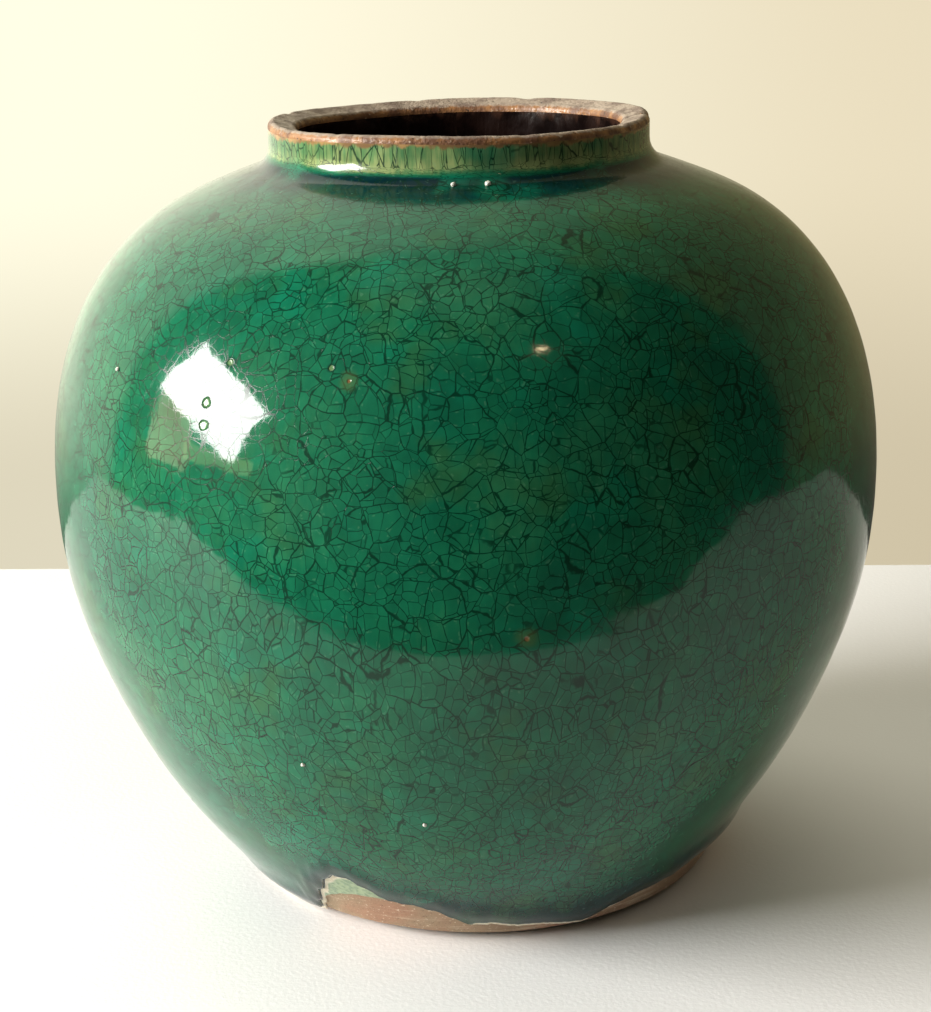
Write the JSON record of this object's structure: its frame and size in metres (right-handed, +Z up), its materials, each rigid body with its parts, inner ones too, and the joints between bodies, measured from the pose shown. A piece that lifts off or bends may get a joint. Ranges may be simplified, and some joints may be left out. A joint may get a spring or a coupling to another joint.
{
  "type": "ginger jar",
  "caption": "Squat round-shouldered lidless stoneware jar with a short upright neck, green crackle glaze, brown lining and a bare turned foot.",
  "frame": {"origin": "centre of the standing foot ring, on the surface that the jar stands on", "axes": "+Z up along the jar's axis; -Y is the front, the side with the chip in the glaze at the foot; +X to the right seen from the front"},
  "size_m": [0.18, 0.18, 0.168],
  "materials": {
    "stoneware_clay": "bare buff to pinkish-brown fired clay, gritty, matt",
    "luting_slip": "fired clay slip in the joints, matt, hidden under the coats",
    "white_slip": "thin fired white slip, dry and slightly chalky",
    "green_crackle_glaze": "glossy translucent deep green glaze with dark crackle lines",
    "brown_lining": "glossy very dark brown glaze",
    "iron_brown_lip": "thin worn iron-brown wash, satin, rubbed to greyish pink on top",
    "kiln_grit": "pale gritty grains stuck in the glaze"
  },
  "bodies": {
    "root": {"lower_body": "stoneware_clay", "belly_seam": "luting_slip", "upper_body": "stoneware_clay", "neck_seam": "luting_slip", "neck_collar": "stoneware_clay", "slip_coat": "white_slip", "outer_glaze": "green_crackle_glaze", "inner_glaze": "brown_lining", "lip_wash": "iron_brown_lip", "grit_specks": "kiln_grit"}
  },
  "joints": []
}
